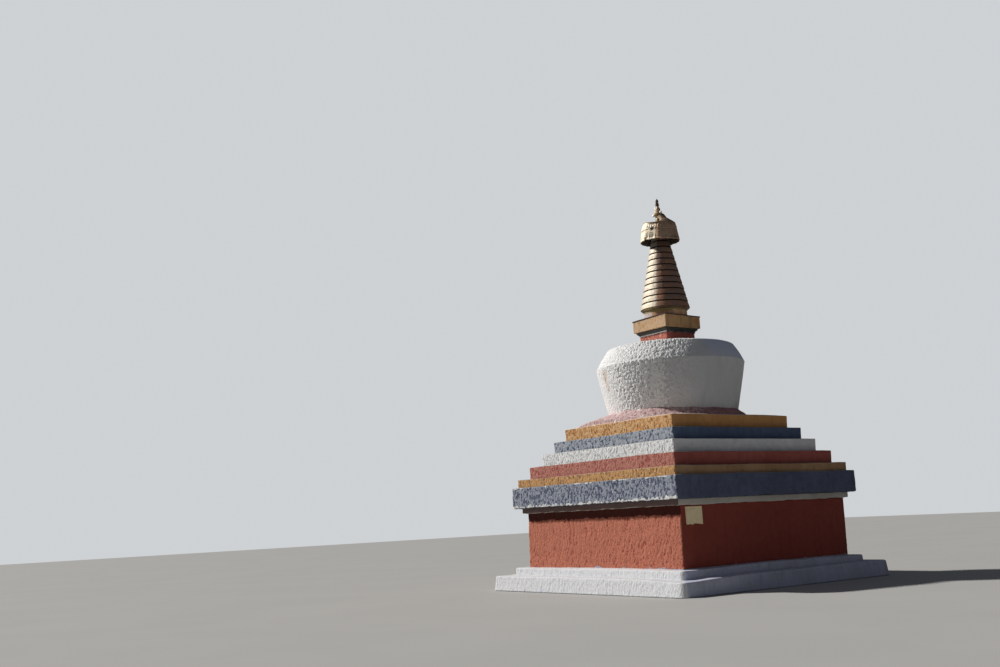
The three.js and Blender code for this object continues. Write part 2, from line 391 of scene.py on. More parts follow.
# Weathered paint on wood or sheet metal
def oldPaint(name, **paint):
    material, tree, shader, place = newMaterial(name)
    cloud = noiseAt(tree, place, paint["patch"])
    specks = noiseAt(tree, place, paint["patch"] * 0.12, 5.0, 0.65)
    runs = noiseAt(tree, place, (0.025, 0.025, 0.25), 4.0, 0.6)
    colour = layered(
        tree, paint["body"],
        (cloud, 0.4, 0.65, 0.6, paint["faded"]), (runs, 0.5, 0.7, paint["runs"], paint["dirt"]),
        (specks, 0.58, 0.66, paint["chips"], paint["chip"]),
        (attribute(tree, "grime"), 0.2, 1.0, 0.8, paint["dirt"]),
    )
    rough = ramp(tree, specks, 0.3, 0.7, 0.9, 0.6)
    linkShader(tree, shader, colour, rough, weighted(tree, (cloud, 1.0), (specks, 0.4)), 0.004)
    return material


darkPaint = oldPaint(
    "darkPaint", body=(0.035, 0.042, 0.036), faded=(0.07, 0.075, 0.065), dirt=(0.03, 0.022, 0.018),
    chip=(0.22, 0.17, 0.12), patch=0.15, runs=0.5, chips=0.35,
)
capPaint = oldPaint(
    "capPaint", body=(0.085, 0.055, 0.04), faded=(0.14, 0.10, 0.075), dirt=(0.03, 0.02, 0.015),
    chip=(0.25, 0.20, 0.15), patch=0.1, runs=0.5, chips=0.3,
)
neckPaint = oldPaint(
    "neckPaint", body=(0.16, 0.035, 0.028), faded=(0.24, 0.06, 0.045), dirt=(0.04, 0.02, 0.016),
    chip=(0.3, 0.2, 0.14), patch=0.1, runs=0.5, chips=0.2,
)
boardPaint = oldPaint(
    "boardPaint", body=(1.0, 0.80, 0.46), faded=(1.0, 0.89, 0.66), dirt=(0.42, 0.29, 0.18),
    chip=(0.50, 0.38, 0.20), patch=0.11, runs=0.12, chips=0.2,
)
print("metals and paints mixed")


# Noise tools for the meshes. The same point and seed always give the same value.
def hashAt(ix, iy, iz, seed):
    mixed = (ix * 73856093) ^ (iy * 19349663) ^ (iz * 83492791) ^ (seed * 83492757 + 977)
    mixed = mixed & 0xFFFFFFFF
    mixed = ((mixed ^ (mixed >> 15)) * 739982445) & 0xFFFFFFFF
    mixed = ((mixed ^ (mixed >> 12)) * 695872825) & 0xFFFFFFFF
    return (mixed ^ (mixed >> 15)) / 4294967295.0


def smoothNoise(points, cell, seed):
    # soft lumps about one cell wide, from -1 to 1
    at = points / np.asarray(cell, float)
    low = np.floor(at).astype(np.int64)
    part = at - low
    part = part * part * (3 - 2 * part)
    total = np.zeros(len(points))
    for corner in range(8):
        step = np.array([corner & 1, corner >> 1 & 1, corner >> 2])
        weight = np.where(step, part, 1 - part).prod(axis=1)
        total += weight * hashAt(*(low + step).T, seed)
    return 2 * total - 1


def layeredNoise(points, cell, seed, layers=3):
    total = sum(
        smoothNoise(points, np.asarray(cell) / 2**i, seed + i) / 2**i for i in range(layers)
    )
    return total / (2 - 2.0 ** (1 - layers))


def pebbles(points, cell, seed):
    # rounded lumps one cell apart: 1 on a lump's top, 0 in the creases between lumps
    at = points / np.asarray(cell, float)
    low = np.floor(at).astype(np.int64)
    nearest = np.full(len(points), 4.0)
    for offset in np.ndindex(3, 3, 3):
        cell3 = low + np.array(offset) - 1
        place = np.stack([hashAt(*cell3.T, seed + k) for k in range(3)], 1) + cell3
        nearest = np.minimum(nearest, ((place - at) ** 2).sum(axis=1))
    return np.clip(1 - np.sqrt(nearest), 0, 1)


def cloudy(points, least, spread, size, seed):
    return least + spread * layeredNoise(points, size, seed)


# Measures of the points
def smoothStep(value, low, high):
    t = np.clip((value - low) / (high - low), 0, 1)
    return t * t * (3 - 2 * t)


def angleOf(points):
    return np.arctan2(points[:, 1], points[:, 0])


def turnFrom(points, way):
    # degrees round the axis from that way, -180 to 180
    return (np.degrees(angleOf(points)) - way + 180) % 360 - 180


def flatOf(points):
    return points * (1, 1, 0)


def heightShare(points, node):
    # 0 at the node's foot and 1 at its top
    low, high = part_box(node)
    return (points[:, 2] - low.z) / (high.z - low.z)


def acrossPicture(points):
    # how far to the right it lies in the picture
    return pictureRight[0] * points[:, 0] + pictureRight[1] * points[:, 1]


def shiftRight(points, amount):
    for axis in (0, 1):
        points[:, axis] += pictureRight[axis] * amount


def sunny(facing):
    # 1 on the two weathered sides, -X and +Y, and 0 on the two sheltered ones
    return np.clip(np.clip(-facing[:, 0], 0, 1) + np.clip(facing[:, 1], 0, 1), 0, 1)


# Shape tools
def softProfile(corners):
    # corners: (half width or radius, height, rounding), from the underside up and back in
    points = []
    for i, (x, z, soft) in enumerate(corners):
        here = np.array((x, z))
        if not soft:
            points.append((x, z))
            continue
        back = np.array(corners[i - 1][:2]) - here
        on = np.array(corners[i + 1][:2]) - here
        start = here + back / np.linalg.norm(back) * soft
        end = here + on / np.linalg.norm(on) * soft
        for t in np.linspace(0, 1, 5):
            points.append(tuple((1 - t) ** 2 * start + 2 * t * (1 - t) * here + t * t * end))
    return points


def cornersOf(look):
    # lower: (radius or half width, height over the foot, rounding); upper: down from the top
    low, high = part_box(look["node"])
    corners = [(wide, low.z + up, soft) for wide, up, soft in look["lower"]]
    return corners + [(wide, high.z - down, soft) for wide, down, soft in look["upper"]]


def profileRows(points, step):
    # evenly filled rows, and the way each one faces: (out, up). step: one, or one a stretch
    rows = [points[0]]
    steps = step if isinstance(step, list) else [step] * (len(points) - 1)
    for start, end, gap in zip(points, points[1:], steps):
        count = max(1, math.ceil(math.dist(start, end) / gap - 0.01))
        for k in range(1, count + 1):
            rows.append(tuple(a + (b - a) * k / count for a, b in zip(start, end)))
    rows = np.array(rows)
    along = np.gradient(rows, axis=0)
    along /= np.linalg.norm(along, axis=1)[:, None]
    return rows, np.stack([along[:, 1], -along[:, 0]], 1)


def squareOutline(half, corner, perSide, perCorner):
    # perSide: how many points each side has, in the order -Y, +X, +Y, -X
    straight = half - corner
    angles = np.radians(np.linspace(-90, 0, perCorner + 2)[1:-1])
    points, facing = [], []
    for (c, s), count in zip(((1, 0), (0, 1), (-1, 0), (0, -1)), perSide):
        along = np.linspace(-straight, straight, count)
        x = np.concatenate([along, straight + corner * np.cos(angles)])
        y = np.concatenate([np.full(count, -half), -straight + corner * np.sin(angles)])
        outX = np.concatenate([np.zeros(count), np.cos(angles)])
        outY = np.concatenate([-np.ones(count), np.sin(angles)])
        points.append(np.stack([c * x - s * y, s * x + c * y], 1))
        facing.append(np.stack([c * outX - s * outY, s * outX + c * outY], 1))
    return np.concatenate(points), np.concatenate(facing)


def sweep(rows, normals, outline):
    # outline(size) gives the points round one row and the way each faces
    points, facing = [], []
    for (size, z), (out, up) in zip(rows, normals):
        flat, way = outline(size)
        points.append(np.column_stack([flat, np.full(len(flat), z)]))
        facing.append(np.column_stack([way * out, np.full(len(flat), up)]))
    return np.concatenate(points), np.concatenate(facing), len(flat)


def squareSweep(rows, normals, corner, perSide, perCorner=4):
    widest = rows[:, 0].max()

    def outline(half):
        return squareOutline(half, max(corner - (widest - half), 0.006), perSide, perCorner)

    return sweep(rows, normals, outline)


def roundSweep(rows, normals, around):
    # around: how many columns, or the angle of each one
    angles = np.arange(around) * 2 * math.pi / around if isinstance(around, int) else around
    way = np.stack([np.cos(angles), np.sin(angles)], 1)
    return sweep(rows, normals, lambda radius: (way * radius, way))


def pushedOut(points, facing, height, perRing):
    # every row but the first and the last moves out by its height
    height[:perRing] = 0
    height[-perRing:] = 0
    return points + facing * height[:, None]


def ringFaces(rings, perRing, hollow=False):
    # rings of points become one closed skin; a hollow one joins its last ring to its first
    here = np.arange(rings if hollow else rings - 1)[:, None] * perRing
    column = np.arange(perRing)[None, :]
    after = (column + 1) % perRing
    above = (here + perRing) % (rings * perRing)
    corners = (here + column, here + after, above + after, above + column)
    faces = np.stack([np.broadcast_to(c, (len(here), perRing)) for c in corners], 2)
    faces = faces.reshape(-1, 4).tolist()
    if not hollow:
        faces.append(list(range(perRing))[::-1])
        faces.append(list(range((rings - 1) * perRing, rings * perRing)))
    return faces


def addMesh(name, node, slot, finish, points, faces, smooth=True, **values):
    mesh = bpy.data.meshes.new(name)
    mesh.from_pydata(points.tolist(), [], faces)
    mesh.polygons.foreach_set("use_smooth", [smooth] * len(mesh.polygons))
    for key, value in values.items():
        layer = mesh.attributes.new(key, "FLOAT", "POINT")
        layer.data.foreach_set("value", np.asarray(value, np.float32))
    mesh.materials.append(finish)
    mesh.update()
    piece = bpy.data.objects.new(name, mesh)
    scene.collection.objects.link(piece)
    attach(piece, "root")
    if node:
        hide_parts(node)


def addPiece(name, node, slot, finish, points, perRing, hollow=False, **values):
    faces = ringFaces(len(points) // perRing, perRing, hollow)
    addMesh(name, node, slot, finish, points, faces, **values)


def plasterRelief(points, facing, look):
    # height of the rough plaster over the flat course, and how exposed each spot is
    seed = look["seed"]
    across, tall = look["dabSize"]
    wave = layeredNoise(points, look["waveSize"], seed)
    dabs = pebbles(points, (across, across, tall), seed + 10)
    patches = smoothNoise(points, (across * 0.9, across * 0.9, tall), seed + 20)
    lumpy = 1.1 * dabs - 0.5 + 0.45 * patches
    weather = sunny(facing)
    height = look["wave"] * wave + look["dabs"] * (0.25 + 0.75 * weather) * lumpy
    return height, weather * np.clip(0.55 + 0.9 * lumpy, 0, 1)


# What a course has where its own values say nothing else
anyCourse = {
    "corner": 0.035, "perCorner": 4, "batter": 0.0, "under": 0.0, "sink": 0.025, "fall": 0.006,
    "inset": 0.0, "edge": 0.0, "edgeSize": 0.6, "edgeWear": 0.15, "topWear": 0.0, "dusty": 1.0,
}


def plasterCourse(own, slot, finish, shape=None, extra=None, patches=None, darkened=None):
    # a square course of hand-plastered masonry that stands for its node
    look = {**anyCourse, **own}
    low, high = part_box(look["node"])
    foot, bottom, top = high.x, low.z, high.z
    soft, step, seed = look["soft"], look["step"], look["seed"]
    if look["under"]:  # it overhangs what carries it
        corners = [(look["under"], bottom, 0), (foot, bottom, soft)]
    else:
        start = bottom - look["sink"]
        corners = [(foot - 0.08, start, 0), (foot, start, 0)]
    head = look.get("head", foot - look["batter"])
    corners += [(head, top, soft), (look["ledge"], top + look["fall"], 0)]
    # coarser on the level top, and on the two sheltered sides, where the plaster is smooth
    profile = softProfile(corners)
    rows, normals = profileRows(profile, [step] * (len(profile) - 2) + [2 * step])
    weathered, sheltered = round(2 * foot / look["across"]), round(foot / look["across"])
    sides = [sheltered, sheltered, weathered, weathered]
    base, facing, perRing = squareSweep(rows, normals, look["corner"], sides, look["perCorner"])
    height, exposed = plasterRelief(base, facing, look)
    rise = np.clip((base[:, 2] - bottom) / (top - bottom), 0, 1)
    if extra:
        strokes, exposed = extra(base, facing)
        height = height + strokes
    points = pushedOut(base, facing, height - look["inset"], perRing)
    flat = flatOf(base)
    points[:, 2] += look["edge"] * layeredNoise(flat, look["edgeSize"], seed + 40, 2) * rise
    if look["under"]:  # its lower edge hangs in uneven scallops
        drips = layeredNoise(flat, look["sagSize"], seed + 50, 2)
        points[:, 2] += look["sag"] * drips * (1 - smoothStep(rise, 0.0, look["sagReach"]))
    if shape:
        shape(points, base, rise)
    exposed = exposed + look["edgeWear"] * smoothStep(rise, 0.93, 1.0) * sunny(facing)
    level = np.clip(facing[:, 2], 0, 1)
    # painted light: the level tops of the two sunlit sides take the bare colour, the others keep
    # the body
    x, y = base[:, 0], base[:, 1]
    lit = [smoothStep(side, -0.05, 0.05) for side in (-x - np.abs(y), y - np.abs(x))]
    exposed = exposed + look["topWear"] * level * np.maximum(*lit)
    dust = level * look["dusty"]
    # a painted shadow, where a course has one, darkens it through the dust layer
    if darkened:
        dust = np.maximum(dust, darkened(base, facing))
    values = {"wear": exposed, "dust": dust}
    if patches:
        values["patch"] = patches(base, facing, rise)
    addPiece(look["node"] + "_plaster", look["node"], slot, finish, points, perRing, **values)


# Plinth: two low steps, rounded and dripped over with lime
plinthLower = {
    "node": "plinth_lower", "head": 3.092, "corner": 0.17, "perCorner": 8, "soft": 0.045,
    "sink": 0.0, "ledge": 2.66, "step": 0.033, "across": 0.022, "seed": 11,
    "wave": 0.009, "waveSize": 0.9, "dabs": 0.006, "dabSize": (0.055, 0.17),
    "edge": 0.012, "edgeSize": 0.7, "inset": 0.010, "edgeWear": 0.3, "dusty": 0.0,
    "topWear": 0.9, "cornerDip": 0.05, "dipAt": 3.05, "dipSpread": 1.3,
}
plinthUpper = {
    "node": "plinth_upper", "head": 2.734, "corner": 0.10, "perCorner": 6, "soft": 0.035,
    "sink": 0.07, "ledge": 2.45, "step": 0.033, "across": 0.022, "seed": 12,
    "wave": 0.008, "waveSize": 0.8, "dabs": 0.005, "dabSize": (0.055, 0.15),
    "edge": 0.010, "edgeSize": 0.7, "edgeWear": 0.3, "dusty": 0.0, "topWear": 0.9,
    "cornerDip": 0.03, "dipAt": 2.72, "dipSpread": 1.2, "endDip": 0.03, "endFrom": (3.0, 5.2),
}


def cornerDip(look, base):
    # the top edge dips at the corner by the camera
    off = ((base[:, :2] + look["dipAt"]) ** 2).sum(axis=1)
    return look["cornerDip"] * np.exp(-off / look["dipSpread"])


def lowerPlinthShape(points, base, rise):
    points[:, 2] -= rise * cornerDip(plinthLower, base)
    # nothing goes past the solids' box
    points[:, :2] = np.clip(points[:, :2], cadLow.x + 0.001, cadHigh.x - 0.001)
    points[:, 2] = np.maximum(points[:, 2], 0.0)


def upperPlinthShape(points, base, rise):
    # it dips at its far right end too
    end = plinthUpper["endDip"] * smoothStep(base[:, 0] - base[:, 1], *plinthUpper["endFrom"])
    points[:, 2] -= rise * (cornerDip(plinthUpper, base) + end)


plasterCourse(plinthLower, "grey_wash", greyWash, lowerPlinthShape)
plasterCourse(plinthUpper, "grey_wash", greyWash, upperPlinthShape)
print("plinth done")

# Throne: tall wall of combed plaster, splashed with lime along its foot
throne = {
    "node": "throne", "corner": 0.03, "soft": 0.012, "sink": 0.05, "ledge": 2.40,
    "step": 0.032, "across": 0.0142, "seed": 13, "wave": 0.010, "waveSize": 1.0,
    "dabs": 0.004, "dabSize": (0.05, 0.12), "edgeWear": 0.0, "combDepth": 0.013,
    "combSize": 0.036, "combSlant": 0.5, "shift": 0.017, "tilt": 0.030, "roofed": (1.50, 1.56),
}


def combed(points, facing):
    # long vertical strokes above, shorter slanting ones lower down
    wide = throne["combSize"]
    upright = layeredNoise(points, (wide, wide, 0.25), 61, 2)
    leaning = points.copy()
    slant = throne["combSlant"] * points[:, 2]
    leaning[:, 0] -= slant
    leaning[:, 1] += slant
    slanted = layeredNoise(leaning, (wide, wide, 0.20), 62, 2)
    patch = smoothNoise(points, (0.7, 0.7, 0.5), 63)
    lower = smoothStep(0.35 * patch - points[:, 2], -1.25, -0.95)
    strokes = upright * (1 - lower) + slanted * lower
    sun = sunny(facing)
    # the bare strokes stop in the strip under the overhang, as part of its painted shadow
    exposed = sun * np.clip(0.60 + 0.85 * strokes, 0.2, 1) * (1 - roofedStrip(points))
    return throne["combDepth"] * strokes * (0.3 + 0.7 * sun), exposed


def roofedStrip(points):
    # painted shadow: the strip under the overhang is darkened where the overhang's shadow falls
    ragged = 0.03 * layeredNoise(flatOf(points), 0.09, 64, 2)
    return smoothStep(points[:, 2] + ragged, *throne["roofed"])


def throneLean(points, base, rise):
    # the whole wall stands a little to +X and leans that way
    points[:, 0] += throne["shift"] + throne["tilt"] * rise


def limeSplashes(points, facing, rise):
    # lobes of lime brushed up over the foot of the wall
    lobes = layeredNoise(flatOf(points), 0.13, 71, 2)
    return np.clip(1.2 - rise / (0.001 + 0.08 * np.clip(lobes - 0.16, 0, 1)), 0, 1)


# on the two sunlit sides the strip under the overhang is darkened as painted shadow
plasterCourse(
    throne, "terracotta", throneWash, throneLean, combed, limeSplashes,
    lambda points, facing: roofedStrip(points) * sunny(facing),
)

throneLip = {
    "node": "throne_lip", "under": 2.40, "soft": 0.022, "ledge": 2.50, "step": 0.024,
    "across": 0.024, "seed": 14, "wave": 0.007, "waveSize": 0.7, "dabs": 0.006,
    "dabSize": (0.06, 0.07), "edgeWear": 0.0, "sag": 0.012, "sagSize": 0.16, "sagReach": 0.9,
    "stretch": 0.070,
}


def lipStretch(points, base, rise):
    # it reaches further out on the +X side
    points[:, 0] += throneLip["stretch"] * smoothStep(base[:, 0], 0.0, 2.4)


# on the two sunlit sides the lip is darkened as painted shadow under the band
plasterCourse(
    throneLip, "whitewash", creamWash, lipStretch,
    patches=lambda points, facing, rise: sunny(facing),
)
print("throne done")

corniceBand = {
    "node": "cornice_band", "under": 2.50, "batter": 0.004, "soft": 0.020, "ledge": 2.57,
    "step": 0.025, "across": 0.020, "seed": 15, "wave": 0.008, "waveSize": 0.8,
    "dabs": 0.015, "dabSize": (0.045, 0.058), "edge": 0.007, "edgeWear": 0.3,
    "sag": 0.016, "sagSize": 0.065, "sagReach": 0.12, "stretch": 0.020, "spread": 0.008,
}


def limeFringe(points, facing, rise):
    # lime along the band's lower edge and in crumbs along its top
    edge = 0.055 + 0.15 * layeredNoise(flatOf(points), 0.060, 81, 2)
    crumbs = smoothStep(smoothNoise(points, (0.09, 0.09, 0.05), 82), 0.1, 0.5)
    specks = smoothStep(smoothNoise(points, (0.05, 0.05, 0.07), 83), 0.42, 0.85)
    low = 1 - smoothStep(rise, edge, edge + 0.05)
    high = np.maximum(0.8 * crumbs * smoothStep(rise, 0.88, 0.97), 0.5 * specks)
    return sunny(facing) * np.maximum(low, high)


def bandStretch(points, base, rise):
    # its +X end stands out a little, most at the top
    far = smoothStep(base[:, 0], 0.0, 2.6)
    points[:, 0] += (corniceBand["stretch"] + corniceBand["spread"] * rise) * far


plasterCourse(corniceBand, "slate_blue", slateWash, bandStretch, patches=limeFringe)

# Five steps, from the lowest up. What they share comes first, then what each has of its own
tier = {
    "batter": -0.012, "soft": 0.016, "step": 0.025, "across": 0.020, "wave": 0.008,
    "waveSize": 0.8, "dabs": 0.012, "dabSize": (0.042, 0.055), "edge": 0.007,
}
tierYellowLower = {
    "node": "tier_yellow_lower", "ledge": 2.36, "across": 0.021, "seed": 16, "dabs": 0.013,
    "edge": 0.008,
}
tierRed = {"node": "tier_red", "ledge": 2.14, "seed": 17}
tierWhite = {
    "node": "tier_white", "soft": 0.018, "ledge": 1.94, "seed": 18, "dabs": 0.013,
    "dabSize": (0.040, 0.052),
}
tierBlue = {"node": "tier_blue", "ledge": 1.74, "seed": 19}
tierYellowUpper = {
    "node": "tier_yellow_upper", "batter": -0.010, "fall": 0.030, "ledge": 1.60, "seed": 20,
    "wave": 0.007, "dabs": 0.013, "dabSize": (0.045, 0.06),
}
for own, slot, finish in (
    (tierYellowLower, "ochre", ochreWash), (tierRed, "red_wash", redWash),
    (tierWhite, "whitewash", whitewash), (tierBlue, "slate_blue", blueWash),
    (tierYellowUpper, "ochre", yellowWash),
):
    plasterCourse({**tier, **own}, slot, finish)
print("tiers done")

# Bank: a sloping skirt of plaster, drawn out towards the corner on the left at the back
domeBank = {
    "node": "dome_bank", "edgeRise": 0.082, "edgeRadius": 1.625, "topRadius": 1.40,
    "footRadius": 1.69, "domeFoot": 1.466, "around": 480, "step": 0.022, "seed": 21,
    "wave": 0.010, "waveSize": 0.6, "dabs": 0.009, "dabSize": (0.05, 0.05), "ragged": 0.014,
    "drawnOut": 0.62, "drawnWay": 135.0, "drawnTurn": 56.25, "limit": 1.745,
    "sagDepth": 0.050, "sagWay": -72.0, "sagOver": (38, 80),
}


def footDrop(points):
    # the line where the bank meets the dome sags on the sheltered side
    side = np.abs(turnFrom(points, domeBank["sagWay"]))
    return domeBank["sagDepth"] * (1 - smoothStep(side, *domeBank["sagOver"]))


def limeClumps(points, exposed):
    # spots of lime where the dome's wash has run and dripped on the bank
    spots = smoothNoise(points, 0.075, 26) + 0.5 * smoothNoise(points, 0.03, 27)
    return smoothStep(spots, 0.35, 0.85) * np.clip(exposed * 2.2, 0.15, 1)


def addBank():
    look = domeBank
    low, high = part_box(look["node"])
    domeFoot, foot = look["domeFoot"], look["footRadius"]
    corners = [
        (foot - 0.1, low.z - 0.03, 0), (foot, low.z - 0.03, 0),
        (look["edgeRadius"], low.z + look["edgeRise"], 0.04),
        (domeFoot, high.z, 0), (look["topRadius"], high.z + 0.01, 0),
    ]
    rows, normals = profileRows(softProfile(corners), look["step"])
    points, facing, perRing = roundSweep(rows, normals, look["around"])
    height, exposed = plasterRelief(points, facing, look)
    points = pushedOut(points, facing, height, perRing)
    turned = np.clip(turnFrom(points, look["drawnWay"]) / look["drawnTurn"], -1, 1)
    lobe = np.cos(turned * math.pi / 2)
    radius = np.hypot(points[:, 0], points[:, 1])
    outward = np.clip((radius - domeFoot) / (foot - domeFoot), 0, 1)
    longer = radius + look["drawnOut"] * lobe**1.5 * outward
    # it stops short of the step's edge
    angle = angleOf(points)
    limit = look["limit"] / np.maximum(np.abs(np.cos(angle)), np.abs(np.sin(angle)))
    points[:, :2] *= (np.minimum(longer, np.maximum(limit, radius)) / radius)[:, None]
    upper = smoothStep(points[:, 2], low.z + 0.09, high.z)
    points[:, 2] -= upper * footDrop(points)
    points[:, 2] += upper * look["ragged"] * layeredNoise(flatOf(points), 0.16, 28, 2)
    topLime = 0.55 * exposed * smoothStep(points[:, 2], high.z - 0.10, high.z)
    values = {"wear": exposed, "patch": np.maximum(limeClumps(points, exposed), topLime)}
    addPiece("bank_plaster", look["node"], "rose", roseWash, points, perRing, **values)


addBank()

# Dome: pebbled lime plaster, with a sloping band above the shoulder and a shallow cap
dome = {
    "node": "dome", "foot": 1.466, "shoulder": 1.690, "sideHeight": 1.040, "bevel": 1.455,
    "bevelHeight": 0.410, "capHeight": 0.104, "capRows": 16, "seat": 0.380, "swell": 0.014,
    "fine": 360, "coarse": 140, "step": 0.0175, "capStep": 0.040, "seed": 22,
    "wave": 0.012, "waveSize": 0.7, "dabs": 0.023, "dabSize": (0.036, 0.042), "lean": 0.035,
    "tip": 0.014, "stainTop": 4.78,
    # ways round the dome, and how far to each side of them, in degrees
    "roughWay": 206.0, "roughTurn": (14, 58), "fineTurn": 85, "lessRoughWay": 71.0,
    "lessRoughTurn": (50, 75), "sunWay": 126.0, "litTurn": 83, "litMoreAbove": 26,
    "litSoft": 22, "bluedTurn": (110, 142), "stainWay": 164.0,
}


def swollen(start, end, count):
    # the dome's side bulges a little between its edges
    t = np.arange(1, count + 1) / count
    out = start[0] + (end[0] - start[0]) * t + dome["swell"] * np.sin(math.pi * t)
    return list(zip(out, start[1] + (end[1] - start[1]) * t))


def domeProfile(bottom):
    wide, bevelWide, count = dome["foot"], dome["bevel"], dome["capRows"]
    shoulder = (dome["shoulder"], bottom + dome["sideHeight"])
    bevel = (bevelWide, shoulder[1] + dome["bevelHeight"])
    profile = [(wide - 0.09, bottom - 0.03), (wide - 0.005, bottom - 0.03), (wide, bottom)]
    profile += swollen((wide, bottom), shoulder, 12) + swollen(shoulder, bevel, 6)
    steps = [dome["step"]] * (len(profile) - 1) + [dome["capStep"]] * count
    tilt = math.acos(dome["seat"] / bevelWide) * np.arange(1, count + 1) / count
    profile += zip(bevelWide * np.cos(tilt), bevel[1] + dome["capHeight"] * np.sin(tilt))
    return profile, steps, shoulder[1], bevel[1]


def rainStain(points, bottom):
    # a brown run of rainwater down the side
    run = np.abs(turnFrom(points, dome["stainWay"]))
    below = dome["stainTop"] - points[:, 2]
    wide = 3.0 + 4.0 * np.exp(-((below / 0.28) ** 2))
    fade = smoothStep(points[:, 2], bottom + 0.15, bottom + 0.7) * smoothStep(below, -0.12, 0.0)
    return np.clip(1.3 - run / wide, 0, 1) * fade * (0.75 + 0.5 * layeredNoise(points, 0.12, 29, 2))


def addDome():
    look = dome
    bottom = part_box(look["node"])[0].z
    profile, steps, shoulderAt, bevelAt = domeProfile(bottom)
    rows, normals = profileRows(profile, steps)
    # closely spaced columns on the pebbled side, wider ones round the rest
    turns = (-look["fineTurn"], look["fineTurn"])
    start, end = (math.radians(look["roughWay"] + turn) for turn in turns)
    fine = np.linspace(start, end, look["fine"], endpoint=False)
    coarse = np.linspace(end, start + 2 * math.pi, look["coarse"], endpoint=False)
    points, facing, perRing = roundSweep(rows, normals, np.concatenate([fine, coarse]))
    # pebbled most where the weather comes from, smoother round the sheltered side
    most, less, sun = (
        np.abs(turnFrom(points, look[way])) for way in ("roughWay", "lessRoughWay", "sunWay")
    )
    rough = 0.09 + 0.91 * (1 - smoothStep(most, *look["roughTurn"]))
    rough += 0.25 * (1 - smoothStep(less, *look["lessRoughTurn"]))
    seed = look["seed"]
    across, tall = look["dabSize"]
    stones = pebbles(points, (across, across, tall), seed)
    patches = smoothNoise(points, (across * 0.8, across * 0.8, tall), seed + 5)
    lumpy = 1.1 * stones - 0.5 + 0.45 * patches
    wave = layeredNoise(points, look["waveSize"], seed + 9)
    # painted light and shade: the wash is whitest over the sunlit half and falls to the grey body
    # past the terminator, further round above the shoulder
    reach = look["litTurn"] + look["litMoreAbove"] * np.clip(1.5 * facing[:, 2], 0, 1)
    lit = 1 - smoothStep(sun - reach, 0, look["litSoft"])
    exposed = lit * np.clip(0.65 + 0.9 * lumpy * rough, 0, 1)
    height = look["wave"] * wave + look["dabs"] * rough * lumpy
    points = pushedOut(points, facing, height, perRing)
    # it leans to the right in the picture and its top tips that way
    crown = smoothStep(points[:, 2], shoulderAt - 0.1, bevelAt + 0.05)
    shiftRight(points, look["lean"] * crown)
    points[:, 2] -= look["tip"] * acrossPicture(points) * crown
    above = smoothStep(points[:, 2], bottom, bottom + 0.35)
    points[:, 2] -= (1 - above) * footDrop(points)
    # painted shade: the upward-facing part of the shaded side is tinted bluish grey, as if lit by
    # the sky
    blued = 1.4 * np.clip(facing[:, 2], 0, 1) * smoothStep(sun, *look["bluedTurn"])
    values = {"wear": exposed, "patch": rainStain(points, bottom), "dust": blued}
    addPiece("dome_plaster", look["node"], "whitewash", domeWash, points, perRing, **values)


addDome()
print("bank and dome done")

# Harmika: small red box, thin ledge, dark moulding, stained ochre slab and its metal edge
harmikaBox = {
    "node": "harmika_box", "corner": 0.014, "soft": 0.008, "sink": 0.055, "ledge": 0.30,
    "step": 0.014, "across": 0.0125, "seed": 31, "wave": 0.004, "waveSize": 0.3,
    "dabs": 0.006, "dabSize": (0.035, 0.04), "edgeWear": 0.1,
}


def limeSpecks(points, facing, rise):
    # specks of lime over the weathered sides
    specks = smoothNoise(points, (0.045, 0.045, 0.055), 39) + 0.4 * smoothNoise(points, 0.02, 40)
    foot = 1 - smoothStep(rise + 0.2 * specks, 0.1, 0.45)
    return sunny(facing) * np.maximum(0.7 * smoothStep(specks, 0.25, 0.95), 0.5 * foot)


plasterCourse(harmikaBox, "red_wash", boxWash, patches=limeSpecks)

harmikaLedge = {
    "node": "harmika_ledge", "under": 0.40, "corner": 0.01, "soft": 0.006, "ledge": 0.36,
    "step": 0.008, "across": 0.0125, "seed": 32, "wave": 0.002, "waveSize": 0.3,
    "dabs": 0.002, "dabSize": (0.04, 0.02), "edge": 0.002, "edgeSize": 0.25, "edgeWear": 0.0,
    "sag": 0.002, "sagSize": 0.1, "sagReach": 1.0,
}
plasterCourse(harmikaLedge, "whitewash", ledgeWash)

harmikaSlab = {
    "node": "harmika_slab", "under": 0.46, "corner": 0.014, "soft": 0.009, "ledge": 0.42,
    "step": 0.014, "across": 0.0125, "seed": 33, "wave": 0.004, "waveSize": 0.35,
    "dabs": 0.0025, "dabSize": (0.03, 0.09), "edge": 0.002, "edgeSize": 0.3, "edgeWear": 0.0,
    "sag": 0.002, "sagSize": 0.2, "sagReach": 0.2, "lift": 0.030,
}


def slabLift(points):
    # the slab's top has been lifted in the middle, less towards its left and right ends
    share = np.interp(acrossPicture(points), (-0.76, -0.13, 0.77), (0, 0.85, 0.15))
    return harmikaSlab["lift"] * share


def liftedTop(points, base, rise):
    points[:, 2] += slabLift(base) * rise


def rustSpot(points, facing, rise):
    # one soft spot of rust near the end of the sheltered face and blots on the weathered one
    off = np.hypot((acrossPicture(points) - 0.64) / 0.085, (rise - 0.60) / 0.30)
    spot = 0.8 * np.clip(1.25 - off + 0.3 * layeredNoise(points, 0.05, 38, 2), 0, 1)
    blots = smoothStep(smoothNoise(points, (0.08, 0.08, 0.16), 30), 0.15, 0.7)
    return np.maximum(spot, 0.36 * blots * (0.4 + 0.6 * sunny(facing)))


plasterCourse(harmikaSlab, "tan_wash", tanWash, liftedTop, patches=rustSpot)

